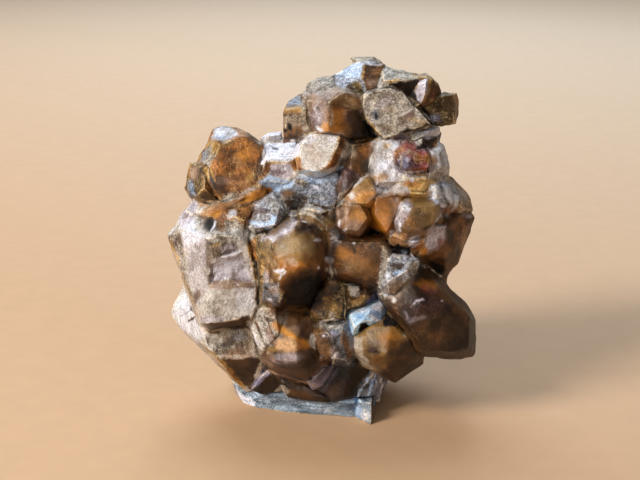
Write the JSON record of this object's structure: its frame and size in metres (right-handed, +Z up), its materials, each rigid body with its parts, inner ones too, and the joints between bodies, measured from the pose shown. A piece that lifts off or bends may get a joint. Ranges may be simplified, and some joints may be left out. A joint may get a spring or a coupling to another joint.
{
  "type": "zircon crystal cluster",
  "caption": "Cluster of honey, orange and dark brown zircon crystals grown together, with grains of pale feldspar, standing on a feldspar foot cut flat below.",
  "frame": {"origin": "on the ground under the foot, in the middle of its flat underside", "axes": "+Z up from the ground, +X to the right and -Y towards a viewer who faces the side with the large crystals"},
  "size_m": [0.0311, 0.0224, 0.0349],
  "materials": {
    "zircon": "honey to dark brown crystal, glassy under a pale dusty crust",
    "feldspar": "blue-grey to white feldspar, pearly on its split faces",
    "feldspar_grain": "white to pale blue feldspar with a soft shine"
  },
  "bodies": {
    "root": {"zircon_crystals": "zircon", "feldspar_foot": "feldspar", "feldspar_grain_centre": "feldspar_grain", "feldspar_grain_crown": "feldspar_grain", "feldspar_grain_upper": "feldspar_grain"}
  },
  "joints": []
}
